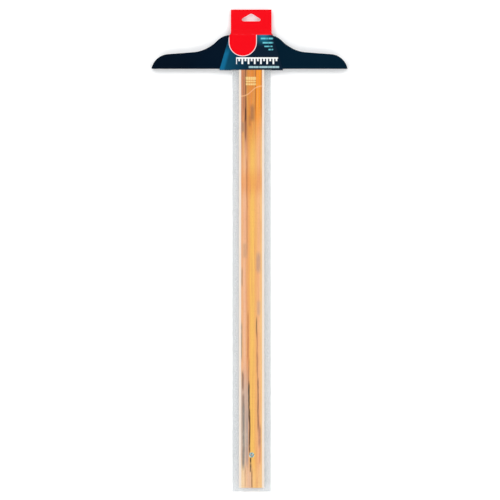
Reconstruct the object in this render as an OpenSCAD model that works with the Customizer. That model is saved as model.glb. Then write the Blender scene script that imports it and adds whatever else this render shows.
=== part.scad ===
// A fixed-head T-square lying face up, with its retail hang card folded round the head.
// X runs along the head, +Y from the blade towards the head, and +Z up out of the blade's face.
// The origin is on the blade's centreline, at the head's working edge, on the blade's underside.
// All lengths are in millimetres and all angles in degrees.

/* [Blade] */
// Length from the head's working edge to the blade's free end
blade_length = 600; // [300:10:1200]
// Length of blade that lies in the head's seat
seat_length = 40; // [37:0.5:42]
// How much thinner the core and its linings are in the seat, to stop square against the head
seat_step = 0.5; // [0.3:0.1:0.6]
// Width of the wooden core
core_width = 29.5; // [26:0.5:40]
// Thickness of the wooden core and its linings
core_thick = 3; // [2.8:0.1:5]
// Width of each pale lining
lining_width = 3.2; // [2.4:0.1:6]
// Width of each clear edge that shows beyond its lining
clear_width = 9.35; // [6:0.05:20]
// Length of the clear strip that shows beyond the core's end
clear_end = 5.4; // [3:0.1:15]
// Thickness of the clear edges
clear_thick = 1.6; // [1:0.1:1.8]
// Depth of the groove that each clear edge is glued into
groove_depth = 1.2; // [0.8:0.1:1.5]
// Width of the chamfer on the clear edges' outer top corner
edge_chamfer = 0.4; // [0.2:0.1:0.8]

/* [Head] */
// Half of the head's length
head_half = 139; // [132:1:160]
// Depth of the head, from its working edge to its flat top
head_depth = 47.5; // [46:0.5:52]
// How far the head's middle is from the blade's centreline
head_offset = -3; // [-6:0.5:6]
// Depth of the head below the blade's underside, which bears on a drawing board's edge
head_drop = 7; // [5:0.5:12]
// Distance from the head's middle to where the flat top would meet the slope
shoulder_at = 38; // [37:0.5:41]
// Radius of the shoulder between the flat top and the slope
shoulder_r = 27; // [20:1:28]
// Angle of the slope below the shoulder
slope_angle = 45.5; // [44:0.5:50]
// Largest radius of the hollow between the slope and the wing
hollow_r = 53.5; // [40:0.5:60]
// Angle at which a wing's top edge falls towards its end
wing_droop = 4.4; // [3:0.1:5]
// Height of the wing's top edge, carried on to the head's end
wing_end = 18.6; // [17:0.1:20]
// Radius of the head's two ends
tip_r = 25.5; // [22:0.5:26]
// Thickness of the head's outer wall and top
head_wall = 3; // [2:0.1:4]
// Thickness of the ribs inside the head
rib_thick = 1.8; // [1.2:0.1:3]
// Distance between the ribs inside the head
rib_pitch = 23; // [20:0.5:30]

/* [Screws] */
// Distance between the outer screws across the blade
screw_span_x = 18; // [14:0.5:19]
// Distance between the outer screws along the blade
screw_span_y = 22; // [18:0.5:23]
// Radius of a screw's shank
screw_r = 1.5; // [1.2:0.1:1.5]
// Radius of a screw's countersunk head
screw_head_r = 3; // [2.6:0.1:3.2]
// Length of a screw
screw_length = 8.6; // [7:0.1:9]

/* [Hang hole] */
// Distance from the blade's free end to the hang hole
hole_inset = 52; // [20:1:80]
// Radius of the hole through the eyelet
hole_r = 1.7; // [1.5:0.1:2]
// Wall thickness of the eyelet's barrel
barrel_wall = 0.5; // [0.4:0.05:0.6]
// Radius of the eyelet's flange and of its washer
flange_r = 3.6; // [3.4:0.1:4]

/* [Hang card] */
// Thickness of the card
card_thick = 0.5; // [0.3:0.05:0.8]
// Clear space between the card and the head
card_gap = 0.2; // [0.1:0.05:0.3]
// Distance from the blade's centreline to the card's own middle
card_offset = -0.6; // [-3:0.1:3]
// Half of the panels' width at the bottom fold
card_half_low = 45; // [40:0.5:60]
// Half of the panels' width at the head's flat top
card_half_high = 30.5; // [29:0.5:40]
// How far the bottom fold stands off the head's working edge
card_slack = 1.6; // [1:0.1:3]
// Half of the tab's width
tab_half = 28.9; // [26:0.1:29]
// Distance from the head's working edge to the top of the tab
tab_top = 84.1; // [80:0.1:110]
// Distance from the head's flat top to where the tab's two plies meet
tab_join = 8; // [5:0.5:12]

/* [Hidden] */
$fn = 64;

// Straight pieces in each arc of the head's outline
arc_steps = 16;
// Overshoot of a cutting shape past the face that it cuts
over = 1;
// Gap left for glue above and below a clear edge in its groove, and round the blade in its seat
glue = 0.05;
// Half widths across the blade: core, linings, grooves and the outer edge
core_half = core_width / 2;
lining_half = core_half + lining_width;
groove_half = lining_half - groove_depth;
blade_half = lining_half + clear_width;
// Places along the blade: its free end, and the ends of the core and of its groove
free_end = -blade_length;
core_end = free_end + clear_end;
groove_end = core_end + groove_depth;
// The clear edges are held above the blade's underside, so that ink doesn't creep below them
clear_z = (core_thick - clear_thick) / 2;
// The blade's middle along its seat, and the underside of the seat's floor
seat_mid = seat_length / 2;
seat_under = seat_step - head_wall;
// Screw pattern: four corners and the middle
screw_places = concat([[0, 0]], [for (x = [-0.5, 0.5], y = [-0.5, 0.5])
                                 [x * screw_span_x, y * screw_span_y]]);
screw_clearance_r = screw_r + 0.3;
screw_head_h = screw_head_r - screw_r;
screw_point = 2;
screw_tip_r = 0.2;
boss_r = screw_r + 2.5;
boss_end = 0.8;
// Hang hole: its place, the barrel's outer radius, and the counterbore that hides the washer
hole_y = free_end + hole_inset;
barrel_r = hole_r + barrel_wall;
flange_h = 0.5;
washer_t = 0.3;
washer_z = 0.35;
curl_w = 0.7;
// Middle plane of the tab, halfway through the head's thickness
tab_z = (core_thick - head_drop) / 2;
// Hang hole in the tab: half width, height of its flat bottom, rise, and corner radii
delta_half = 13.2;
delta_low = 67.3;
delta_rise = 11;
delta_end_r = 2.4;
delta_top_r = 4;

// ---- Plane geometry of the head's outline -------------------------------------------------

// The normal of direction u that points into the head, when its top is followed outwards
function inward(u) = [u[1], -u[0]];
// The point where the line through p along u meets the line through q along v
function meet(p, u, q, v) = p + u * cross(q - p, v) / cross(u, v);
// The point on the line through p along u that is nearest to q
function foot(p, u, q) = p + u * ((q - p) * u);

slope_dir = [cos(slope_angle), -sin(slope_angle)];
wing_dir = [cos(wing_droop), -sin(wing_droop)];
slope_point = [shoulder_at, head_depth];
wing_point = [head_half, wing_end];
head_end = [head_half, 0];
// Where the slope would meet the wing's top edge, and the length of slope left for the hollow
slope_foot = meet(slope_point, slope_dir, wing_point, wing_dir);
hollow_room = norm(slope_foot - slope_point) - shoulder_r * tan(slope_angle / 2) - 0.3;
hollow_fit = min(hollow_r, hollow_room / tan((slope_angle - wing_droop) / 2));
shoulder_c = meet([0, head_depth - shoulder_r], [1, 0],
                  slope_point + shoulder_r * inward(slope_dir), slope_dir);
hollow_c = meet(slope_point - hollow_fit * inward(slope_dir), slope_dir,
                wing_point - hollow_fit * inward(wing_dir), wing_dir);
tip_foot = foot(wing_point + tip_r * inward(wing_dir), wing_dir, head_end);
tip_c = tip_foot - wing_dir * sqrt(pow(tip_r, 2) - pow(norm(head_end - tip_foot), 2));

// Points along an arc, from angle a to angle b
function arc(centre, r, a, b) =
  [for (i = [0 : arc_steps]) let (t = a + (b - a) * i / arc_steps) centre + r * [cos(t), sin(t)]];

// The right half of the outline, moved inwards by d: shoulder, hollow, then the wing's end
function half_points(d) = concat(
  arc(shoulder_c, shoulder_r - d, 90, 90 - slope_angle),
  arc(hollow_c, hollow_fit + d, 270 - slope_angle, 270 - wing_droop),
  arc(tip_c, tip_r - d, 90 - wing_droop, asin((d - tip_c[1]) / (tip_r - d))));

function mirrored(points) = [for (i = [len(points) - 1 : -1 : 0]) [-points[i][0], points[i][1]]];

module head_outline(d = 0) {
  polygon(concat(half_points(d), mirrored(half_points(d))));
}

// ---- Head ----------------------------------------------------------------------------------

// A box centred across X, from y0 to y1 and from z0 to z1
module slab(half, y0, y1, z0, z1) {
  translate([-half, y0, z0]) cube([2 * half, y1 - y0, z1 - z0]);
}

module head_ribs() {
  rib_count = floor(head_half / rib_pitch);
  for (i = [-rib_count : rib_count])
    translate([i * rib_pitch - rib_thick / 2, 0]) square([rib_thick, head_depth]);
  translate([-2 * rib_pitch, (head_depth - rib_thick) / 2]) square([4 * rib_pitch, rib_thick]);
}

// The hollow under the head, between its ribs
module head_hollow() {
  translate([head_offset, 0, -head_drop - over])
    linear_extrude(head_drop + over + core_thick - head_wall)
      difference() {
        head_outline(head_wall);
        head_ribs();
      }
}

module at_screws() {
  for (p = screw_places) translate([p[0], seat_mid + p[1], 0]) children();
}

module head() {
  color("#04202f") difference() {
    union() {
      difference() {
        translate([head_offset, 0, -head_drop]) linear_extrude(head_drop + core_thick)
          head_outline();
        head_hollow();
      }
      intersection() {
        slab(blade_half + head_wall, 0, seat_length + head_wall, seat_under, core_thick);
        translate([head_offset, 0, -head_drop]) linear_extrude(head_drop + core_thick)
          head_outline();
      }
      at_screws() translate([0, 0, -head_drop + boss_end])
        cylinder(r = boss_r, h = head_drop - boss_end);
    }
    slab(blade_half + glue, -over, seat_length + glue, seat_step, core_thick + over);
    at_screws() translate([0, 0, core_thick - screw_length]) {
      translate([0, 0, screw_point]) cylinder(r = screw_r, h = screw_length);
      cylinder(r1 = screw_tip_r, r2 = screw_r, h = screw_point);
    }
  }
}

// ---- Blade ---------------------------------------------------------------------------------

// What the blade's underside is cut back by, where it lies in the seat
module seat_rebate() {
  slab(lining_half + over, 0, seat_length + over, -over, seat_step);
}

// The groove across the free end of the core and of the linings
module end_groove() {
  slab(lining_half + over, core_end - over, groove_end,
       clear_z - glue, clear_z + clear_thick + glue);
}

module blade_core() {
  color("#e59a4c") difference() {
    slab(core_half, core_end, seat_length, 0, core_thick);
    seat_rebate();
    end_groove();
    at_screws() translate([0, 0, -over]) cylinder(r = screw_clearance_r, h = core_thick + 2 * over);
    at_screws() translate([0, 0, core_thick - screw_head_h])
      cylinder(r1 = screw_r, r2 = screw_head_r, h = screw_head_h);
    translate([0, hole_y, -over]) cylinder(r = barrel_r, h = core_thick + 2 * over);
    translate([0, hole_y, -over]) cylinder(r = flange_r + glue, h = over + washer_z + washer_t);
  }
}

// The lining on the right of the core
module edge_lining() {
  color("#f4e6d6") difference() {
    translate([core_half, core_end, 0])
      cube([lining_width, seat_length - core_end, core_thick]);
    translate([groove_half, core_end - over, clear_z - glue])
      cube([groove_depth + over, seat_length - core_end + 2 * over, clear_thick + 2 * glue]);
    seat_rebate();
    end_groove();
  }
}

module edge_lining_right() {
  edge_lining();
}

module edge_lining_left() {
  mirror([1, 0, 0]) edge_lining();
}

// The clear edge on the right: a strip with a chamfer along its outer top corner
module clear_edge() {
  color("#dfe3e4") translate([0, seat_length, 0]) rotate([90, 0, 0])
    linear_extrude(seat_length - free_end)
      polygon([[groove_half, clear_z], [blade_half, clear_z],
               [blade_half, clear_z + clear_thick - edge_chamfer],
               [blade_half - edge_chamfer, clear_z + clear_thick],
               [groove_half, clear_z + clear_thick]]);
}

module clear_edge_right() {
  clear_edge();
}

module clear_edge_left() {
  mirror([1, 0, 0]) clear_edge();
}

module clear_edge_end() {
  color("#dfe3e4") difference() {
    slab(groove_half - glue, free_end, groove_end, clear_z, clear_z + clear_thick);
    translate([0, free_end, clear_z + clear_thick]) rotate([45, 0, 0])
      cube([2 * groove_half, edge_chamfer * sqrt(2), edge_chamfer * sqrt(2)], center = true);
  }
}

// ---- Fasteners and hang hole ---------------------------------------------------------------

module screw() {
  cross_w = 0.7;
  cross_l = 1.2 * screw_head_r;
  cross_d = 1;
  difference() {
    union() {
      translate([0, 0, core_thick - screw_head_h])
        cylinder(r1 = screw_r, r2 = screw_head_r, h = screw_head_h);
      translate([0, 0, core_thick - screw_length + screw_point])
        cylinder(r = screw_r, h = screw_length - screw_point - screw_head_h);
      translate([0, 0, core_thick - screw_length])
        cylinder(r1 = screw_tip_r, r2 = screw_r, h = screw_point);
    }
    for (turn = [0, 90]) rotate([0, 0, turn])
      translate([-cross_l / 2, -cross_w / 2, core_thick - cross_d])
        cube([cross_l, cross_w, cross_d + over]);
  }
}

module blade_screws() {
  color("silver") at_screws() screw();
}

module hang_eyelet() {
  flange_z = core_thick + flange_h;
  color("#b9c6cc") translate([0, hole_y, 0]) rotate_extrude()
    polygon([[hole_r, 0.05], [barrel_r + curl_w, 0.05], [barrel_r + curl_w, washer_z],
             [barrel_r, washer_z], [barrel_r, core_thick], [flange_r, core_thick],
             [flange_r - 0.25, core_thick + flange_h / 2], [barrel_r + 0.2, flange_z],
             [hole_r, flange_z]]);
}

module eyelet_washer() {
  color("#b9c6cc") translate([0, hole_y, washer_z]) difference() {
    cylinder(r = flange_r, h = washer_t);
    translate([0, 0, -over]) cylinder(r = barrel_r, h = washer_t + 2 * over);
  }
}

// ---- Hang card -----------------------------------------------------------------------------

// The card's path round the head and up into the tab, seen along X: [y, z]
module card_section() {
  front = core_thick + card_gap;
  back = -head_drop - card_gap;
  low = -card_slack;
  fold = head_depth + card_gap;
  join = head_depth + tab_join;
  t = card_thick;
  difference() {
    polygon([[low - t, back - t], [fold, back - t], [join, tab_z - t], [tab_top, tab_z - t],
             [tab_top, tab_z + t], [join, tab_z + t], [fold, front + t], [low - t, front + t]]);
    polygon([[low, back], [fold, back], [join, tab_z], [fold, front], [low, front]]);
  }
}

// The card's outline, seen from above
module card_outline() {
  low = -card_slack - card_thick;
  fold = head_depth + card_gap;
  polygon([[-card_half_low, low], [card_half_low, low], [card_half_high, fold],
           [tab_half, fold], [tab_half, tab_top], [-tab_half, tab_top], [-tab_half, fold],
           [-card_half_high, fold]]);
}

// The display-hook hole: a low triangle with three round corners
module delta_hole() {
  hull() {
    for (side = [-1, 1])
      translate([side * (delta_half - delta_end_r), delta_low + delta_end_r])
        circle(delta_end_r, $fn = 32);
    translate([0, delta_low + delta_rise - delta_top_r]) circle(delta_top_r, $fn = 32);
  }
}

module hang_card() {
  depth = core_thick + head_drop + 4;
  reach = card_half_low + over;
  color("#d0142a") difference() {
    intersection() {
      translate([-reach, 0, 0]) rotate([90, 0, 90]) linear_extrude(2 * reach) card_section();
      translate([card_offset, 0, -head_drop - 2]) linear_extrude(depth) card_outline();
    }
    translate([card_offset, 0, -head_drop - 2]) linear_extrude(depth) delta_hole();
    slab(blade_half + 1, -card_slack - 2 * card_thick, -glue,
         -head_drop - card_gap, core_thick + card_gap);
  }
}

head();
blade_core();
edge_lining_left();
edge_lining_right();
clear_edge_left();
clear_edge_right();
clear_edge_end();
blade_screws();
hang_eyelet();
eyelet_washer();
hang_card();
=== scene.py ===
"""Looks for a fixed-head T-square: varnished wooden blade, clear edges, plastic head and hang card.

Units are metres, in the same frame as the CAD: +X along the head, +Y towards the head, +Z up out of
the blade's face, origin at the head's working edge on the blade's underside. MM turns millimetres
into metres. Inside materials, and in the hang card's named sizes, lengths are in millimetres.
"""

import math

import bmesh
import bpy
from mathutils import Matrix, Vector


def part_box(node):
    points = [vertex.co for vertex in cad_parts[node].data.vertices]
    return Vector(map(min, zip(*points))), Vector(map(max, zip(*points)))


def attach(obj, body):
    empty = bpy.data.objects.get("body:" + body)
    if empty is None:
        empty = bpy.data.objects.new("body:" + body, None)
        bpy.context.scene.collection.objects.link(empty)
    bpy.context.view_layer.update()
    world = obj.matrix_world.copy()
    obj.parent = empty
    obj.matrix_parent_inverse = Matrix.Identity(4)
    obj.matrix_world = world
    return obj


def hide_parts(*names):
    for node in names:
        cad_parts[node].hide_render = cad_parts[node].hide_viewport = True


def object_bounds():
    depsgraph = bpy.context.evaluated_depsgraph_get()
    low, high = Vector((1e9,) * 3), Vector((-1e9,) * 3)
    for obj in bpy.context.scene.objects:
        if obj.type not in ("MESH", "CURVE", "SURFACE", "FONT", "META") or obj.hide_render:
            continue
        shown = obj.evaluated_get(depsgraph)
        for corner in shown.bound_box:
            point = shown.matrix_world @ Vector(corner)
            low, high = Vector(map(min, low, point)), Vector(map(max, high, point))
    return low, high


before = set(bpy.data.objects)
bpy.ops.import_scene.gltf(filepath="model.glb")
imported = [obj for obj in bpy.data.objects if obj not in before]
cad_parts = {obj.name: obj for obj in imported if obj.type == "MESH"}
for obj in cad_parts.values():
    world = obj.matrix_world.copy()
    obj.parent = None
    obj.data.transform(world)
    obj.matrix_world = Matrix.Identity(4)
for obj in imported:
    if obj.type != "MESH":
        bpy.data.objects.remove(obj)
CAD_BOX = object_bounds()
MM = 0.001
BODY = "root"


# ---- Node-tree helper -----------------------------------------------------------------------


class Look:
    """One material and its node tree. Methods that make nodes return an output socket."""

    def __init__(self, name):
        self.material = bpy.data.materials.new(name)
        self.material.use_nodes = True
        self.tree = self.material.node_tree
        self.tree.nodes.clear()
        self.output = self.tree.nodes.new("ShaderNodeOutputMaterial")
        coordinates = self.tree.nodes.new("ShaderNodeTexCoord")
        scaled = self.tree.nodes.new("ShaderNodeVectorMath")
        scaled.operation = "SCALE"
        scaled.inputs["Scale"].default_value = 1 / MM
        self.tree.links.new(coordinates.outputs["Object"], scaled.inputs[0])
        self.place = scaled.outputs[0]
        split = self.tree.nodes.new("ShaderNodeSeparateXYZ")
        self.tree.links.new(self.place, split.inputs[0])
        self.x, self.y, self.z = split.outputs

    def put(self, value, socket):
        """Links a socket, or sets a plain value."""
        if isinstance(value, bpy.types.NodeSocket):
            self.tree.links.new(value, socket)
        elif isinstance(value, (tuple, list)) and len(value) == 3 and socket.type == "RGBA":
            socket.default_value = (*value, 1.0)
        else:
            socket.default_value = value

    def math(self, operation, a, b=0.0, c=0.0):
        node = self.tree.nodes.new("ShaderNodeMath")
        node.operation = operation
        for value, socket in zip((a, b, c), node.inputs):
            self.put(value, socket)
        return node.outputs[0]

    def add(self, a, b):
        return self.math("ADD", a, b)

    def times(self, a, b):
        return self.math("MULTIPLY", a, b)

    def blend(self, a, b, factor):
        """Colour a where factor is 0, and colour b where it is 1."""
        node = self.tree.nodes.new("ShaderNodeMix")
        node.data_type = "RGBA"
        self.put(factor, node.inputs["Factor"])
        self.put(a, node.inputs[6])
        self.put(b, node.inputs[7])
        return node.outputs[2]

    def paint(self, base, colour, mask, strength):
        """The base with a colour laid over it where mask is 1."""
        return self.blend(base, colour, self.times(mask, strength))

    def rise(self, value, low, high):
        """0 below low, 1 above high, smooth between them. low may be the larger."""
        node = self.tree.nodes.new("ShaderNodeMapRange")
        node.interpolation_type = "SMOOTHSTEP"
        flip = low > high
        self.put(value, node.inputs["Value"])
        node.inputs["From Min"].default_value = min(low, high)
        node.inputs["From Max"].default_value = max(low, high)
        node.inputs["To Min"].default_value = 1.0 if flip else 0.0
        node.inputs["To Max"].default_value = 0.0 if flip else 1.0
        return node.outputs["Result"]

    def span(self, value, low, high, soft):
        """1 between low and high, with edges soft wide."""
        return self.times(self.rise(value, low - soft, low + soft),
                          self.rise(value, high + soft, high - soft))

    def stretched(self, sx, sy, sz=1.0, shift=0.0):
        """The place in millimetres divided by a size along each axis, for long grain."""
        node = self.tree.nodes.new("ShaderNodeMapping")
        node.inputs["Scale"].default_value = (1 / sx, 1 / sy, 1 / sz)
        node.inputs["Location"].default_value = (shift, shift, shift)
        self.tree.links.new(self.place, node.inputs["Vector"])
        return node.outputs[0]

    def noise(self, vector, detail=3.0, roughness=0.5, distortion=0.0):
        """Noise from 0 to 1. The vector sets its size."""
        node = self.tree.nodes.new("ShaderNodeTexNoise")
        node.inputs["Scale"].default_value = 1.0
        node.inputs["Detail"].default_value = detail
        node.inputs["Roughness"].default_value = roughness
        node.inputs["Distortion"].default_value = distortion
        self.tree.links.new(vector, node.inputs["Vector"])
        return node.outputs["Fac"]

    def wobble(self, vector, amount, detail=2.0):
        """Noise about 0, of the given size."""
        return self.times(self.math("SUBTRACT", self.noise(vector, detail), 0.5), 2 * amount)

    def repeats(self, value, rate):
        """Distance from the middle of each repeat of a value, as a share of the repeat."""
        share = self.math("FRACT", self.times(value, rate))
        return self.math("ABSOLUTE", self.math("SUBTRACT", share, 0.5))

    def ramp(self, value, stops):
        """A colour from a value of 0 to 1, by (place, colour) stops with soft steps."""
        node = self.tree.nodes.new("ShaderNodeValToRGB")
        node.color_ramp.interpolation = "EASE"
        points = node.color_ramp.elements
        while len(points) < len(stops):
            points.new(0.5)
        for point, (at, colour) in zip(points, stops):
            point.position = at
            point.color = (*colour, 1.0)
        self.put(value, node.inputs["Fac"])
        return node.outputs["Color"]

    def bump(self, height, depth):
        """A normal from a height of 0 to 1 that stands for a depth in millimetres."""
        node = self.tree.nodes.new("ShaderNodeBump")
        node.inputs["Distance"].default_value = depth * MM
        self.put(height, node.inputs["Height"])
        return node.outputs["Normal"]

    def shader(self, **sockets):
        """The Principled shader. Names are its sockets', with _ for a space."""
        node = self.tree.nodes.new("ShaderNodeBsdfPrincipled")
        for name, value in sockets.items():
            self.put(value, node.inputs[name.replace("_", " ")])
        self.tree.links.new(node.outputs[0], self.output.inputs["Surface"])
        return node.outputs[0]


# How bright a white surface that faces up comes out, where 1 is white on screen
LIGHT = 1.2


def shown(red, green, blue):
    """The surface colour that comes out as these 0 to 255 screen values in this light."""
    def linear(level):
        share = level / 255
        return share / 12.92 if share <= 0.04045 else ((share + 0.055) / 1.055) ** 2.4
    return tuple(linear(level) / LIGHT for level in (red, green, blue))


# ---- Materials ------------------------------------------------------------------------------

CORE_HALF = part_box("blade_core")[1].x / MM
CORE_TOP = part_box("blade_core")[1].z / MM


def head_plastic():
    """Satin navy moulding with a fine spark-eroded texture, and painted light that makes it a
    little lighter towards the right.
    """
    look = Look("head_plastic")
    drift = look.noise(look.stretched(60, 30, 20), 2.0)
    # Painted light: the navy is painted lighter from left to right, with a little noise in it
    across = look.add(look.rise(look.x, -140, 120), look.times(drift, 0.5))
    colour = look.ramp(across, [(0.0, shown(0, 3, 16)), (0.6, shown(0, 15, 33)),
                                (1.0, shown(0, 26, 43))])
    grain = look.noise(look.stretched(0.5, 0.5, 0.5), 3.0, 0.6)
    smudge = look.noise(look.stretched(25, 12, 12, 4.0), 4.0, 0.6)
    roughness = look.add(0.36, look.times(smudge, 0.16))
    look.shader(Base_Color=colour, Roughness=roughness, Specular_IOR_Level=0.1,
                Specular_Tint=(0.4, 0.7, 1.0), Normal=look.bump(grain, 0.05))
    return look.material


# Marks in the blade: x, half width, start and end from the head (mm), colour, strength from 0 to 1
STREAKS = [
    (-8.7, 0.7, -2, 101, shown(112, 72, 48), 0.75),
    (-8.6, 0.6, 56, 74, shown(36, 22, 14), 0.95),
    (-11.6, 0.6, 0, 60, shown(150, 98, 72), 0.6),
    (-12.4, 1.6, 76, 90, shown(150, 124, 108), 0.6),
    (5.3, 0.6, 0, 60, shown(176, 100, 44), 0.7),
    (0.6, 2.2, 52, 74, shown(150, 104, 74), 0.65),
    (-2.6, 1.6, 66, 82, shown(190, 120, 72), 0.6),
    (-7.1, 0.8, 128, 182, shown(186, 118, 76), 0.7),
    (-6.6, 0.7, 182, 262, shown(196, 132, 92), 0.55),
    (-9.4, 2.6, 248, 268, shown(206, 160, 126), 0.6),
    (9.6, 2.4, 262, 288, shown(188, 152, 134), 0.7),
    (-13.4, 0.8, 284, 308, shown(150, 126, 100), 0.6),
    (10.0, 2.0, 330, 350, shown(204, 166, 142), 0.6),
    (-14.0, 0.7, 362, 412, shown(128, 124, 96), 0.75),
    (-5.1, 0.7, 346, 412, shown(188, 112, 72), 0.75),
    (7.3, 0.7, 354, 380, shown(110, 96, 66), 0.85),
    (7.6, 0.7, 372, 428, shown(190, 122, 84), 0.75),
    (-12.6, 1.0, 430, 456, shown(110, 90, 76), 0.75),
    (-11.8, 1.2, 462, 482, shown(124, 108, 96), 0.7),
    (-11.6, 1.4, 478, 566, shown(112, 122, 122), 0.8),
    (-9.2, 0.5, 500, 560, shown(214, 196, 176), 0.7),
    (-6.4, 1.2, 486, 562, shown(172, 156, 152), 0.7),
    (-4.2, 0.6, 412, 452, shown(168, 112, 78), 0.75),
    (-3.7, 0.85, 446, 498, shown(14, 44, 44), 1.0),
    (-2.9, 0.75, 490, 546, shown(36, 38, 36), 0.95),
    (-1.6, 0.75, 552, 559, shown(36, 44, 38), 1.0),
    (-1.4, 0.8, 560, 566, shown(40, 44, 38), 1.0),
    (-1.7, 0.75, 566, 572, shown(46, 44, 40), 0.95),
    (11.8, 1.0, 536, 560, shown(222, 138, 96), 0.7),
    (0.5, 0.6, 570, 596, shown(134, 88, 60), 0.9),
    (-9.2, 0.5, 566, 594, shown(184, 130, 92), 0.75),
    (8.6, 0.7, 404, 448, shown(186, 130, 92), 0.8),
    (9.2, 0.8, 442, 512, shown(118, 84, 64), 0.85),
    (11.4, 1.5, 506, 536, shown(176, 122, 100), 0.75),
]


def wood_bands(look, x, down):
    """The broad bands of colour along the blade: deep near the head, paler further down."""
    across = look.math("DIVIDE", look.add(x, CORE_HALF), 2 * CORE_HALF)
    near = look.ramp(across, [
        (0.00, shown(204, 128, 84)), (0.12, shown(212, 144, 104)), (0.24, shown(186, 116, 74)),
        (0.34, shown(228, 146, 60)), (0.50, shown(234, 142, 50)), (0.66, shown(214, 120, 46)),
        (0.76, shown(255, 150, 24)), (0.90, shown(255, 160, 40)), (1.00, shown(212, 130, 52))])
    middle = look.ramp(across, [
        (0.00, shown(246, 180, 124)), (0.16, shown(250, 194, 156)), (0.28, shown(238, 168, 118)),
        (0.37, shown(250, 176, 104)), (0.48, shown(255, 199, 100)), (0.58, shown(255, 198, 102)),
        (0.70, shown(250, 182, 112)), (0.82, shown(252, 188, 136)), (1.00, shown(255, 206, 140))])
    end = look.ramp(across, [
        (0.00, shown(255, 222, 174)), (0.20, shown(254, 216, 172)), (0.40, shown(238, 190, 158)),
        (0.60, shown(255, 204, 134)), (1.00, shown(255, 208, 146))])
    base = look.blend(near, middle, look.rise(look.add(down, look.times(x, 1.2)), 60, 135))
    deeper = look.times(look.span(down, 146, 176, 12), 0.5)
    base = look.blend(base, shown(238, 146, 70), deeper)
    return look.blend(base, end, look.rise(look.add(down, look.times(x, -0.8)), 550, 585))


def blade_wood():
    """Varnished wood: bands along the blade, fine grain, streaks and the stamped bars."""
    look = Look("blade_wood")
    down = look.times(look.y, -1.0)
    fibre = look.wobble(look.stretched(0.5, 16, 3, 9.0), 0.5, 4.0)
    x = look.add(look.add(look.x, look.wobble(look.stretched(40, 90, 40), 1.4)), fibre)
    base = wood_bands(look, x, down)
    base = wood_stains(look, base, x, down)
    fine = look.noise(look.stretched(0.7, 50, 3), 5.0, 0.65)
    base = look.paint(base, shown(168, 108, 70), look.rise(fine, 0.52, 0.8), 0.34)
    base = wood_streaks(look, base, fibre, down)
    lines = look.noise(look.stretched(0.32, 90, 4, 1.0), 4.0, 0.7)
    base = look.paint(base, shown(190, 118, 72), look.rise(lines, 0.5, 0.66), 0.26)
    base = look.paint(base, shown(255, 214, 138), look.rise(lines, 0.46, 0.3), 0.22)
    pores = look.noise(look.stretched(0.1, 4.5, 1), 2.0, 0.6)
    base = look.paint(base, shown(120, 70, 40), look.rise(pores, 0.6, 0.68), 0.45)
    face_up = look.rise(look.z, CORE_TOP - 0.5, CORE_TOP - 0.3)
    base = look.paint(base, shown(226, 214, 196), pale_wavy_marks(look, down), face_up)
    base = look.paint(base, shown(255, 196, 140), pale_s_line(look), face_up)
    base = look.paint(base, shown(255, 222, 146), look.times(stamp(look), 0.9), face_up)
    height = look.add(look.times(fine, 0.5), look.times(look.rise(pores, 0.7, 0.58), 0.5))
    roughness = look.add(0.3, look.times(pores, 0.15))
    look.shader(Base_Color=base, Roughness=roughness, Specular_IOR_Level=0.3,
                Coat_Weight=0.3, Coat_Roughness=0.14, Normal=look.bump(height, 0.03))
    return look.material


def wood_stains(look, base, x, down):
    """Long soft patches of golden, rosy and grey wood over the bands."""
    golden = look.noise(look.stretched(2.6, 110, 10), 3.0, 0.6)
    base = look.paint(base, shown(255, 198, 108), look.rise(golden, 0.52, 0.7), 0.45)
    rosy = look.noise(look.stretched(1.9, 80, 10, 7.0), 3.0, 0.6)
    base = look.paint(base, shown(232, 142, 98), look.rise(rosy, 0.5, 0.7), 0.5)
    grey = look.times(look.rise(x, -2.0, -6.0), look.span(down, 440, 556, 30))
    return look.paint(base, shown(200, 182, 170), grey, 0.75)


def wood_streaks(look, base, fibre, down):
    """The marks in STREAKS. Each wanders a little, is torn along it and fades at its ends."""
    longest_fade, fade_share = 7.0, 0.2
    for number, (at, half, start, end, colour, strength) in enumerate(STREAKS):
        wander = look.wobble(look.stretched(300, 22, 50, 3.1 * number), 0.8, 3.0)
        off = look.math("ABSOLUTE", look.add(look.add(look.add(look.x, fibre), -at), wander))
        torn = look.noise(look.stretched(0.9, 9, 3, 5.3 * number), 3.0, 0.6)
        fade = min(longest_fade, fade_share * (end - start))
        mask = look.times(look.rise(off, 2.1 * half, 0.3 * half), look.span(down, start, end, fade))
        mask = look.times(mask, look.rise(torn, 0.24, 0.46))
        base = look.paint(base, colour, mask, strength)
    return base


def pale_wavy_marks(look, down):
    """Small pale wavy marks in the grey part of the blade near the free end."""
    folds = look.noise(look.stretched(5, 7, 5, 12.0), 2.0, 0.5, 1.2)
    thin = look.repeats(folds, 6.0)
    place = look.times(look.rise(look.x, -4.5, -7.5), look.span(down, 512, 536, 4))
    return look.times(look.times(look.rise(thin, 0.14, 0.04), place), 0.55)


def pale_s_line(look):
    """A pale S-shaped line that crosses the blade near the head."""
    middle_y, half_rise, bend_width = -32.0, 7.6, 8
    bend = look.times(look.math("TANH", look.times(look.x, 1 / bend_width)), half_rise)
    line = look.math("ABSOLUTE", look.add(look.add(look.y, -middle_y), look.times(bend, -1.0)))
    return look.times(look.rise(line, 1.5, 0.2), 0.7)


def stamp(look):
    """Three worn printed bars near the head, which stand for lines of print."""
    bars = [(-16.2, -11.8), (-19.6, -17.2), (-23.6, -21.0)]
    left, right, soft = -8.6, 6.2, 0.25
    letters_per_mm = 0.31
    mask = 0.0
    for low, high in bars:
        mask = look.math("MAXIMUM", mask, look.span(look.y, low, high, soft))
    mask = look.times(mask, look.span(look.x, left, right, soft))
    worn = look.noise(look.stretched(1.1, 1.1, 1.1, 2.0), 3.0, 0.6)
    mask = look.times(mask, look.rise(look.repeats(look.x, letters_per_mm), 0.02, 0.1))
    return look.times(mask, look.rise(worn, 0.28, 0.46))


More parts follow.
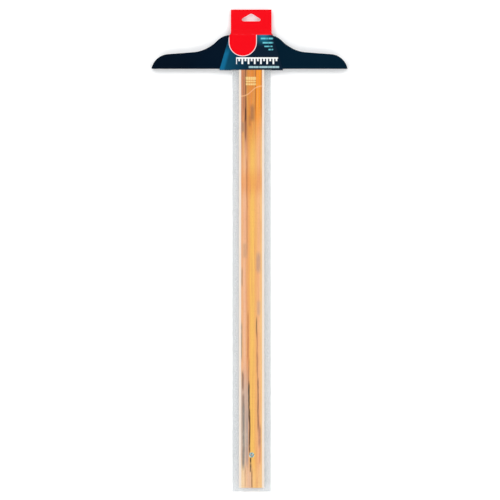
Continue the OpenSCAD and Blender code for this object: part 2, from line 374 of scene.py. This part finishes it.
def lining_wood():
    """Pale, close-grained wood under the same varnish."""
    look = Look("lining_wood")
    grain = look.noise(look.stretched(0.4, 40, 3), 4.0, 0.65)
    colour = look.ramp(grain, [(0.25, shown(238, 216, 194)), (0.5, shown(250, 234, 218)),
                               (0.75, shown(255, 244, 232))])
    flecks = look.noise(look.stretched(0.12, 3.5, 1), 2.0)
    colour = look.paint(colour, shown(214, 184, 152), look.rise(flecks, 0.6, 0.7), 0.6)
    look.shader(Base_Color=colour, Roughness=look.add(0.28, look.times(flecks, 0.12)),
                Specular_IOR_Level=0.3, Coat_Weight=0.3, Coat_Roughness=0.14,
                Normal=look.bump(grain, 0.02))
    return look.material


def clear_plastic():
    """Polished acrylic. Lamps reach what is behind it, so that it casts only a faint shadow."""
    look = Look("clear_plastic")
    scuffs = look.noise(look.stretched(2.0, 14, 2.0), 5.0, 0.7)
    roughness = look.add(0.02, look.times(look.rise(scuffs, 0.5, 0.8), 0.05))
    # Partly the plastic's own haze and partly painted shade: the grey tint, shown flat by the share
    # that is not see-through, darkens the strips as the shade under them would
    haze_and_shade_tint = (0.675, 0.69, 0.7)
    glass = look.shader(Base_Color=haze_and_shade_tint, Roughness=roughness, Transmission_Weight=0.78, IOR=1.49)
    open_way = look.tree.nodes.new("ShaderNodeBsdfTransparent")
    open_way.inputs["Color"].default_value = (0.92, 0.93, 0.93, 1.0)
    path = look.tree.nodes.new("ShaderNodeLightPath")
    switch = look.tree.nodes.new("ShaderNodeMixShader")
    look.tree.links.new(path.outputs["Is Shadow Ray"], switch.inputs[0])
    look.tree.links.new(glass, switch.inputs[1])
    look.tree.links.new(open_way.outputs[0], switch.inputs[2])
    look.tree.links.new(switch.outputs[0], look.output.inputs["Surface"])
    return look.material


def plated_metal(name, colour, roughness):
    """Plated metal with faint uneven polish."""
    look = Look(name)
    haze = look.noise(look.stretched(0.9, 0.9, 0.9), 4.0, 0.6)
    duller = tuple(0.85 * c for c in colour)
    look.shader(Base_Color=look.ramp(haze, [(0.2, duller), (0.8, colour)]), Metallic=1.0,
                Roughness=look.add(roughness, look.times(haze, 0.15)))
    return look.material


# ---- Mesh helpers ---------------------------------------------------------------------------

# Corners closer than this, in metres, are the same corner
SAME_PLACE = 2e-6


def welded(node):
    """A copy of a CAD node's mesh with its split corners joined."""
    bm = bmesh.new()
    bm.from_mesh(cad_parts[node].data)
    bmesh.ops.remove_doubles(bm, verts=bm.verts, dist=SAME_PLACE)
    bm.normal_update()
    return bm


def new_object(name, bm):
    """A linked object from a bmesh, which is freed."""
    mesh = bpy.data.meshes.new(name)
    bm.to_mesh(mesh)
    bm.free()
    obj = bpy.data.objects.new(name, mesh)
    bpy.context.scene.collection.objects.link(obj)
    return obj


def prism(outline, low_z, high_z):
    """An upright solid from the (x, y) points of its outline."""
    bm = bmesh.new()
    foot = bm.faces.new([bm.verts.new((x, y, low_z)) for x, y in outline])
    lifted = bmesh.ops.extrude_face_region(bm, geom=[foot])["geom"]
    raised = [g for g in lifted if isinstance(g, bmesh.types.BMVert)]
    bmesh.ops.translate(bm, vec=(0, 0, high_z - low_z), verts=raised)
    bmesh.ops.recalc_face_normals(bm, faces=bm.faces)
    return bm


def rounded(points, radius, steps=6):
    """A path of (y, z) points with each corner replaced by a curve."""
    path = [Vector(points[0])]
    for before, corner, after in zip(points, points[1:], points[2:]):
        before, corner, after = Vector(before), Vector(corner), Vector(after)
        start = corner + (before - corner).normalized() * radius
        end = corner + (after - corner).normalized() * radius
        for i in range(steps + 1):
            t = i / steps
            path.append(start * (1 - t) ** 2 + corner * 2 * t * (1 - t) + end * t ** 2)
    path.append(Vector(points[-1]))
    return path


def divided(path, longest):
    """The same path with its long straight runs divided."""
    out = [path[0]]
    for a, b in zip(path, path[1:]):
        pieces = max(1, math.ceil((b - a).length / longest))
        out += [a.lerp(b, (i + 1) / pieces) for i in range(pieces)]
    return out


def apply_modifiers(obj):
    """Bakes an object's modifiers into its mesh."""
    bpy.context.view_layer.update()
    graph = bpy.context.evaluated_depsgraph_get()
    mesh = bpy.data.meshes.new_from_object(obj.evaluated_get(graph))
    obj.modifiers.clear()
    obj.data = mesh


def combine(obj, other, operation, solver):
    """Cuts an object with another, or keeps what they share, and deletes the other."""
    boolean = obj.modifiers.new("combine", "BOOLEAN")
    boolean.operation = operation
    boolean.solver = solver
    boolean.object = other
    apply_modifiers(obj)
    bpy.data.objects.remove(other)


def smooth_by_angle(mesh, degrees):
    """Smooth shading, with edges bent more than this angle kept sharp."""
    mesh.shade_smooth()
    mesh.set_sharp_from_angle(angle=math.radians(degrees))


# ---- Hang card ------------------------------------------------------------------------------

CARD_LOW, CARD_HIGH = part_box("hang_card")
CARD_X = (CARD_LOW.x + CARD_HIGH.x) / 2 / MM
CARD_THICK = 0.45
# Distances from the working edge: the upper fold, where the plies meet, and the card's two ends
CARD_FOLD_Y = 47.7
CARD_JOIN_Y = 55.5
CARD_BOTTOM_Y = CARD_LOW.y / MM + CARD_THICK / 2
# The tab stops short of the CAD box, because its thick edge tips outwards as it leans back
TAB_SHORT = 0.06
CARD_TAB_TOP = CARD_HIGH.y / MM - TAB_SHORT
# How far the front panel crowns, and the room left for that under the top of the CAD box
PANEL_CROWN = 0.12
CROWN_ROOM = 0.15
# The middle of the front, back and tab boards in z
CARD_FRONT_Z = CARD_HIGH.z / MM - CARD_THICK / 2 - CROWN_ROOM
CARD_BACK_Z = CARD_LOW.z / MM + CARD_THICK / 2
CARD_TAB_Z = (CARD_HIGH.z + CARD_LOW.z) / 2 / MM
# The tab's two plies are this far apart, and a fold's curve starts this far from its corner
PLY_GAP = 0.5
FOLD_RADIUS = 1.2
# Half widths: at the bottom fold, at the upper fold, of the tab, and of the slot for the blade
CARD_HALF_LOW = (CARD_HIGH.x - CARD_LOW.x) / 2 / MM
CARD_HALF_HIGH = 30.5
TAB_HALF = 28.9
SLOT_HALF = 28.3
# How far the tab's top edge leans back, and twists at its sides
TAB_LEAN = 1.5
TAB_TWIST = 0.5
# The display-hook hole's half width, lowest point and height, and the radii of its corners
HOLE_HALF = 13.2
HOLE_LOW = 67.3
HOLE_RISE = 11.0
HOLE_END_R = 2.4
HOLE_TOP_R = 4.0

RED = shown(250, 0, 20)
NAVY = shown(1, 27, 47)
WHITE = shown(250, 252, 252)
CYAN = shown(120, 226, 240)
# Four short lines of print at the panel's right: left end, bottom and top, and their right end
PANEL_LINES = [(13.0, 41.4, 43.6), (15.6, 35.4, 37.6), (18.0, 30.4, 32.2), (23.2, 25.8, 27.8)]
PANEL_LINES_RIGHT = 30.4
# The panel's left edge for the print: its half width at the upper fold, and its slant
PANEL_HALF = 31.0
PANEL_SLANT = 0.285
# The red patch below the tab: a round end of this radius about this centre
PATCH_R = 19.0
PATCH_X = -12.6
PATCH_Y = 37.2
PATCH_BORDER = 1.0


def patch_distance(look):
    """Distance outside the red patch's outline, negative inside it."""
    dx = look.add(look.x, -PATCH_X)
    dy = look.math("MINIMUM", look.add(look.y, -PATCH_Y), 0.0)
    reach = look.math("SQRT", look.add(look.times(dx, dx), look.times(dy, dy)))
    return look.add(reach, -PATCH_R)


def box_mask(look, low_x, high_x, low_y, high_y):
    """1 inside a printed rectangle."""
    soft = 0.08
    across = look.span(look.x, low_x, high_x, soft)
    return look.times(across, look.span(look.y, low_y, high_y, soft))


def rule_graphic(look):
    """A plain printed rule: a white line with long and short marks hanging from it."""
    left, right, low, high = -22.0, 37.4, 6.2, 15.8
    pitch, mark_width, line_width = 4.4, 2.4, 2.0
    short_mark = 5.4
    soft = 0.12
    step = look.times(look.add(look.x, mark_width / 2 - left), 1 / pitch)
    within = look.times(look.math("FRACT", step), pitch)
    mark = look.rise(within, mark_width + soft, mark_width - soft)
    even = look.math("FRACT", look.times(look.math("FLOOR", step), 0.5))
    foot = look.add(low, look.times(look.rise(even, 0.2, 0.3), high - low - short_mark))
    long_enough = look.rise(look.math("SUBTRACT", look.y, foot), -soft, soft)
    line = look.rise(look.y, high - line_width - soft, high - line_width + soft)
    ink = look.math("MAXIMUM", line, look.times(mark, long_enough))
    return look.times(box_mask(look, left, right, low, high), ink)


def print_line(look, left, right, low, high, word, seed):
    """A thin printed line broken into short runs, which stands for a line of small print."""
    runs = look.noise(look.stretched(word, 400, 400, seed), 1.0)
    return look.times(box_mask(look, left, right, low, high), look.rise(runs, 0.36, 0.46))


def paper_finish(look, colour, roughness, coat):
    """Varnished board, with faint waves and the fibres just showing."""
    fibres = look.noise(look.stretched(0.25, 0.25, 0.25), 4.0, 0.7)
    waves = look.noise(look.stretched(9, 7, 9), 2.0)
    height = look.add(look.times(fibres, 0.15), look.times(waves, 0.85))
    look.shader(Base_Color=colour, Roughness=look.add(roughness, look.times(fibres, 0.12)),
                Specular_IOR_Level=0.08, Coat_Weight=coat, Coat_Roughness=0.1,
                Normal=look.bump(height, 0.05))
    return look.material


def from_left_edge(look):
    """Distance in from the panel's slanting left edge."""
    below_fold = look.math("SUBTRACT", CARD_FOLD_Y, look.y)
    reach = look.add(PANEL_HALF, look.times(below_fold, PANEL_SLANT))
    return look.add(look.add(look.x, -CARD_X), reach)


def panel_shades(look):
    """The front panel's blues: deeper to the right, a glow at the top and a wedge at the left."""
    drift = look.noise(look.stretched(14, 14, 14), 3.0)
    left = look.rise(look.x, 6.0, -40.0)
    panel = look.paint(NAVY, shown(0, 74, 102), left, look.add(0.6, look.times(drift, 0.5)))
    glow = look.times(look.span(look.x, 9, 24, 8), look.rise(look.y, 30, 48))
    panel = look.paint(panel, shown(30, 132, 162), glow, 0.85)
    wedge = look.times(look.rise(from_left_edge(look), 9.0, 4.5), look.rise(look.y, 32, 20))
    return look.paint(panel, shown(10, 108, 150), wedge, 0.9)


def card_front():
    """The printed front: red tab and round patch, and a navy panel with a rule and small print."""
    look = Look("card_front")
    crisp = 0.1
    panel = panel_shades(look)
    panel = look.blend(panel, WHITE, rule_graphic(look))
    small = print_line(look, -4.5, 39.0, 0.6, 3.4, 1.6, 3.0)
    panel = look.paint(panel, shown(176, 214, 222), small, 0.85)
    for low_x, low_y, high_y in PANEL_LINES:
        line = print_line(look, low_x, PANEL_LINES_RIGHT, low_y, high_y, 2.2, low_y)
        panel = look.paint(panel, CYAN, line, 0.75)
    reach = patch_distance(look)
    border = look.rise(reach, PATCH_BORDER + crisp, PATCH_BORDER - crisp)
    panel = look.blend(panel, shown(255, 226, 228), border)
    panel = look.blend(panel, RED, look.rise(reach, crisp, -crisp))
    colour = look.blend(panel, RED, above_fold(look))
    # Pale pink streaks just above the fold: partly board whitened at the crease, partly a painted
    # highlight where the board curves over the fold
    fold_streak_noise = look.noise(look.stretched(5, 0.7, 3), 4.0, 0.7)
    crease_line = look.span(look.y, CARD_FOLD_Y + 0.2, CARD_FOLD_Y + 1.2, 0.5)
    worn = look.times(crease_line, look.rise(fold_streak_noise, 0.5, 0.7))
    colour = look.paint(colour, shown(255, 120, 130), worn, 0.4)
    return paper_finish(look, colour, 0.4, 0.08)


def above_fold(look):
    """1 on the tab, 0 on the panels."""
    soft = 0.15
    return look.rise(look.y, CARD_FOLD_Y - soft, CARD_FOLD_Y + soft)


def card_back():
    """The back: red tab, and a navy panel with a pale label of plain bars."""
    look = Look("card_back")
    drift = look.noise(look.stretched(14, 14, 14), 3.0)
    panel = look.paint(NAVY, shown(0, 62, 88), drift, 0.6)
    panel = look.blend(panel, shown(232, 236, 238), box_mask(look, -26, 24, 8, 30))
    bars, top_bar, pitch, bar_height = 5, 26.0, 4.0, 1.4
    for row in range(bars):
        low = top_bar - pitch * row
        right = 18 - 3 * (row % 3)
        bar = box_mask(look, -23, right, low, low + bar_height)
        panel = look.blend(panel, shown(120, 138, 150), bar)
    return paper_finish(look, look.blend(panel, RED, above_fold(look)), 0.4, 0.2)


def card_raw(colour):
    """Unprinted board, seen inside the sleeve and along the cut edges."""
    look = Look("card_raw")
    fibres = look.noise(look.stretched(0.4, 2.0, 0.4), 5.0, 0.7)
    tone = look.blend(colour, tuple(0.8 * c for c in colour), fibres)
    look.shader(Base_Color=tone, Roughness=0.85, Normal=look.bump(fibres, 0.03))
    return look.material


def card_half_width(y):
    """Half of the card's width at a distance from the working edge."""
    tab_start = CARD_FOLD_Y + 1.0
    if y > tab_start:
        return TAB_HALF
    share = max(0.0, min(1.0, (CARD_FOLD_Y - y) / (CARD_FOLD_Y - CARD_BOTTOM_Y)))
    return CARD_HALF_HIGH + (CARD_HALF_LOW - CARD_HALF_HIGH) * share


def card_bend(x, y, z):
    """Where the folded board settles: the front panel crowns, and the tab leans and twists."""
    if y > CARD_JOIN_Y:
        reach = (y - CARD_JOIN_Y) / (CARD_TAB_TOP - CARD_JOIN_Y)
        z += TAB_TWIST * reach * (x - CARD_X) / TAB_HALF - TAB_LEAN * reach ** 2
    elif z > 0 and 0 < y < CARD_FOLD_Y:
        along = math.sin(math.pi * y / CARD_FOLD_Y)
        across = math.cos(math.pi / 2 * (x - CARD_X) / CARD_HALF_LOW)
        z += PANEL_CROWN * (along * across)
    return Vector((x, y, z)) * MM


def card_sheet():
    """The blank folded round the head, open where the blade passes through its bottom fold."""
    front = [(CARD_TAB_TOP, CARD_TAB_Z + PLY_GAP / 2), (CARD_JOIN_Y, CARD_TAB_Z + PLY_GAP / 2),
             (CARD_FOLD_Y, CARD_FRONT_Z), (CARD_BOTTOM_Y, CARD_FRONT_Z)]
    back = [(CARD_BOTTOM_Y, CARD_BACK_Z), (CARD_FOLD_Y, CARD_BACK_Z),
            (CARD_JOIN_Y, CARD_TAB_Z - PLY_GAP / 2), (CARD_TAB_TOP, CARD_TAB_Z - PLY_GAP / 2)]
    longest = 4.0
    side_steps, middle_steps = 3, 14
    whole = divided(rounded(front + back, FOLD_RADIUS), longest)
    front_only = divided(rounded(front, FOLD_RADIUS), longest)
    back_only = divided(rounded(back, FOLD_RADIUS), longest)
    bm = bmesh.new()

    def strip(path, columns):
        """A grid of faces: columns(y) gives the x positions for a row."""
        rows = [[bm.verts.new(card_bend(x, p[0], p[1])) for x in columns(p[0])] for p in path]
        for p, q, upper, lower in zip(path, path[1:], rows, rows[1:]):
            is_back = (p[1] + q[1]) / 2 < CARD_TAB_Z
            for a, b, c, d in zip(upper, upper[1:], lower[1:], lower):
                face = bm.faces.new((d, c, b, a))
                face.material_index = 1 if is_back else 0
                face.smooth = True

    def side(sign):
        """The columns beside the slot, on the side that sign says."""
        def columns(y):
            outer = CARD_X + sign * card_half_width(y)
            xs = [sign * SLOT_HALF + (outer - sign * SLOT_HALF) * i / side_steps
                  for i in range(side_steps + 1)]
            return xs if sign > 0 else xs[::-1]
        return columns

    def middle(y):
        """The columns across the slot's width."""
        return [SLOT_HALF * (2 * i / middle_steps - 1) for i in range(middle_steps + 1)]

    for sign in (-1, 1):
        strip(whole, side(sign))
    strip(front_only, middle)
    strip(back_only, middle)
    bmesh.ops.remove_doubles(bm, verts=bm.verts, dist=SAME_PLACE)
    return new_object("hang_card_board", bm)


def delta_cutter():
    """A prism of the display-hook hole's outline: a low triangle with round corners."""
    end_x, end_y = HOLE_HALF - HOLE_END_R, HOLE_LOW + HOLE_END_R
    corners = [(-end_x, end_y, HOLE_END_R, 180, 270), (end_x, end_y, HOLE_END_R, 270, 385),
               (0.0, HOLE_LOW + HOLE_RISE - HOLE_TOP_R, HOLE_TOP_R, 65, 115),
               (-end_x, end_y, HOLE_END_R, 115, 180)]
    steps = 8
    outline = []
    for x, y, radius, start, end in corners:
        for i in range(steps + 1):
            turn = math.radians(start + (end - start) * i / steps)
            outline.append(((CARD_X + x + radius * math.cos(turn)) * MM,
                            (y + radius * math.sin(turn)) * MM))
    outline.pop()  # the last point is the first one again
    return new_object("delta_cutter", prism(outline, -12.0 * MM, 6.0 * MM))


def make_card():
    """The hang card: a folded sheet given its thickness, then its hole."""
    card = card_sheet()
    raw = card_raw(shown(214, 210, 204))
    for material in (card_front(), card_back(), raw):
        card.data.materials.append(material)
    solid = card.modifiers.new("thickness", "SOLIDIFY")
    solid.thickness = CARD_THICK * MM
    solid.offset = 0.0
    solid.use_even_offset = True
    solid.material_offset = 2
    solid.material_offset_rim = 2
    apply_modifiers(card)
    combine(card, delta_cutter(), "DIFFERENCE", "EXACT")
    smooth_by_angle(card.data, 40)
    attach(card, BODY)
    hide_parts("hang_card")
    return card


# ---- Head, blade and metal ------------------------------------------------------------------


def outline_at(bm, z):
    """The outermost outline of a mesh at height z, as a list of points in order."""
    near = 1e-5
    upright = 0.1

    def on_outline(edge):
        level = all(abs(v.co.z - z) < near for v in edge.verts)
        return level and any(abs(face.normal.z) < upright for face in edge.link_faces)

    start = max((v for v in bm.verts if abs(v.co.z - z) < near), key=lambda v: v.co.x)
    path = [start.co.copy()]
    here, arrived_by = start, None
    while True:
        edge = next(e for e in here.link_edges if on_outline(e) and e is not arrived_by)
        here, arrived_by = edge.other_vert(here), edge
        if here is start:
            return path
        path.append(here.co.copy())


def rounded_prism(outline, low_z, high_z, radius):
    """A solid with the given outline and with rounded top and bottom rims."""
    bm = prism([(p.x, p.y) for p in outline], low_z, high_z)
    rims = [e for e in bm.edges if abs(e.verts[0].co.z - e.verts[1].co.z) < SAME_PLACE]
    bmesh.ops.bevel(bm, geom=rims, offset=radius, offset_type="OFFSET", segments=4, profile=0.5,
                    affect="EDGES", clamp_overlap=False)
    return new_object("rounded_prism", bm)


def make_head():
    """The moulding, with its outer rims rounded by what it shares with a rounded prism."""
    low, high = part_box("head")
    rim_radius = 0.7 * MM
    skin = 0.003 * MM  # the prism is this much smaller, so that no two faces lie on each other
    bm = welded("head")
    centre = Vector(((low.x + high.x) / 2, (low.y + high.y) / 2, 0.0))
    outline = [p + (centre - p).normalized() * skin for p in outline_at(bm, low.z)]
    obj = new_object("head_moulding", bm)
    prism_object = rounded_prism(outline, low.z + skin, high.z - skin, rim_radius)
    combine(obj, prism_object, "INTERSECT", "MANIFOLD")
    smooth_by_angle(obj.data, 28)
    even = obj.modifiers.new("even_shading", "WEIGHTED_NORMAL")
    even.keep_sharp = True
    obj.data.materials.clear()
    obj.data.materials.append(head_plastic())
    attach(obj, BODY)
    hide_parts("head")
    return obj


def dress(node, material, edge=0.0):
    """Gives a CAD node its material and, if asked, edges broken by that many millimetres."""
    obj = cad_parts[node]
    obj.data.materials.clear()
    obj.data.materials.append(material)
    if edge:
        weld = obj.modifiers.new("weld", "WELD")
        weld.merge_threshold = SAME_PLACE
        bevel = obj.modifiers.new("broken_edges", "BEVEL")
        bevel.width = edge * MM
        bevel.segments = 3
        bevel.limit_method = "ANGLE"
        bevel.angle_limit = math.radians(40)
    return obj


# The eyelet's bore and barrel radii, and how far its end curls outwards and back up
EYELET_BORE_R = 1.7 * MM
EYELET_BARREL_R = 2.2 * MM
EYELET_CURL = 0.7 * MM
EYELET_ROLL = 0.3 * MM


def eyelet_section(low_z, high_z, flange_r):
    """The eyelet's section as (radius, height) points: dome, barrel, rolled end and bore."""
    blade_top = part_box("blade_core")[1].z
    dome_half, dome_height = (flange_r - EYELET_BORE_R) / 2, high_z - blade_top
    steps = 8
    section = []
    for i in range(2 * steps + 1):
        turn = math.pi * i / (2 * steps)
        section.append((EYELET_BORE_R + dome_half - dome_half * math.cos(turn),
                        blade_top + dome_height * math.sin(turn)))
    section.append((EYELET_BARREL_R, blade_top))
    for i in range(steps + 1):
        turn = math.pi * i / steps
        section.append((EYELET_BARREL_R + EYELET_CURL * math.sin(turn / 2),
                        low_z + EYELET_ROLL * (1 - i / steps)))
    section.append((EYELET_BORE_R, low_z))
    return section


def make_eyelet(material):
    """A rolled eyelet: a domed flange, a straight barrel and a curled end under the blade."""
    low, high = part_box("hang_eyelet")
    centre = (low + high) / 2
    section = eyelet_section(low.z, high.z, (high.x - low.x) / 2)
    around = 64
    bm = bmesh.new()
    rings = []
    for i in range(around):
        turn = 2 * math.pi * i / around
        east, north = math.cos(turn), math.sin(turn)
        rings.append([bm.verts.new((centre.x + r * east, centre.y + r * north, z))
                      for r, z in section])
    for ring, following in zip(rings, rings[1:] + rings[:1]):
        for j in range(len(section)):
            k = (j + 1) % len(section)
            bm.faces.new((ring[j], following[j], following[k], ring[k]))
    bmesh.ops.recalc_face_normals(bm, faces=bm.faces)
    obj = new_object("eyelet_ring", bm)
    smooth_by_angle(obj.data, 45)
    obj.data.materials.append(material)
    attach(obj, BODY)
    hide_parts("hang_eyelet")
    return obj


def make_object():
    """Every piece, with the width in millimetres that the strips' edges are broken by."""
    lining_edge, clear_edge = 0.35, 0.12
    dress("blade_core", blade_wood())
    lining = lining_wood()
    clear = clear_plastic()
    nickel = plated_metal("eyelet_nickel", (0.4, 0.63, 0.66), 0.2)
    for side in ("left", "right"):
        dress(f"edge_lining_{side}", lining, lining_edge)
        dress(f"clear_edge_{side}", clear, clear_edge)
    dress("clear_edge_end", clear, clear_edge)
    dress("blade_screws", plated_metal("screw_steel", (0.6, 0.6, 0.62), 0.3))
    dress("eyelet_washer", nickel)
    make_eyelet(nickel)
    make_head()
    make_card()


# ---- Studio ---------------------------------------------------------------------------------

# The width of floor that the picture takes in, and how far its centre is from the object's
VIEW_WIDTH = 0.7095
VIEW_SHIFT_X = 0.0007
VIEW_SHIFT_Y = 0.0006
LENS = 200.0
SENSOR = 36.0
FLOOR_REACH = 8.0
FLOOR_GAP = 0.05 * MM
# The softboxes' directions seen from above (degrees) and powers (watts)
SOFTBOXES = [(45, 24), (135, 27), (225, 24), (315, 21)]
SOFTBOX_REACH = 1.9
SOFTBOX_HEIGHT = 1.7
SOFTBOX_SIZE = 1.5


def make_camera():
    """A long lens straight above the object, with the head at the top of the picture."""
    centre = (CAD_BOX[0] + CAD_BOX[1]) / 2
    data = bpy.data.cameras.new("camera")
    data.lens = LENS
    data.sensor_width = SENSOR
    data.clip_end = 50.0
    camera = bpy.data.objects.new("camera", data)
    distance = VIEW_WIDTH / SENSOR * LENS
    camera.location = (centre.x + VIEW_SHIFT_X, centre.y + VIEW_SHIFT_Y, distance)
    bpy.context.scene.collection.objects.link(camera)
    bpy.context.scene.camera = camera
    return camera


def make_floor():
    """A plain pale floor that glows a little, so that shadows stay faint."""
    look = Look("floor")
    mottle = look.noise(look.stretched(120, 120, 120), 2.0)
    colour = look.blend((0.92, 0.92, 0.92), (0.95, 0.95, 0.95), mottle)
    look.shader(Base_Color=colour, Roughness=0.9, Specular_IOR_Level=0.1,
                Emission_Color=(1.0, 1.0, 1.0), Emission_Strength=0.12)
    bm = bmesh.new()
    bmesh.ops.create_grid(bm, x_segments=1, y_segments=1, size=FLOOR_REACH)
    floor = new_object("floor", bm)
    floor.data.materials.append(look.material)
    floor.location.z = CAD_BOX[0].z - FLOOR_GAP
    return floor


def make_lights():
    """Four large softboxes round the object and a pale surround."""
    world = bpy.data.worlds.new("world")
    world.use_nodes = True
    nodes, links = world.node_tree.nodes, world.node_tree.links
    direction = nodes.new("ShaderNodeTexCoord")
    split = nodes.new("ShaderNodeSeparateXYZ")
    sky = nodes.new("ShaderNodeValToRGB")
    sky.color_ramp.elements[0].color = (0.95, 0.96, 0.97, 1.0)
    sky.color_ramp.elements[1].color = (0.2, 0.21, 0.22, 1.0)
    sky.color_ramp.elements[0].position = 0.05
    sky.color_ramp.elements[1].position = 0.6
    links.new(direction.outputs["Generated"], split.inputs[0])
    links.new(split.outputs["Z"], sky.inputs["Fac"])
    links.new(sky.outputs["Color"], nodes["Background"].inputs["Color"])
    bpy.context.scene.world = world
    target = Vector((0.0, (CAD_BOX[0].y + CAD_BOX[1].y) / 2, 0.0))
    for number, (degrees, power) in enumerate(SOFTBOXES):
        data = bpy.data.lights.new(f"softbox_{number}", "AREA")
        data.shape = "SQUARE"
        data.size = SOFTBOX_SIZE
        data.energy = power
        lamp = bpy.data.objects.new(f"softbox_{number}", data)
        turn = math.radians(degrees)
        lamp.location = target + Vector((SOFTBOX_REACH * math.cos(turn),
                                         SOFTBOX_REACH * math.sin(turn), SOFTBOX_HEIGHT))
        lamp.rotation_mode = "QUATERNION"
        lamp.rotation_quaternion = (target - lamp.location).to_track_quat("-Z", "Y")
        bpy.context.scene.collection.objects.link(lamp)


def set_view():
    """Plain display colours, so that printed and painted colours come out as set."""
    settings = bpy.context.scene.view_settings
    settings.view_transform = "Standard"
    settings.look = "None"
    settings.exposure = 0.0
    settings.gamma = 1.0


make_camera()
make_object()
make_floor()
make_lights()
set_view()
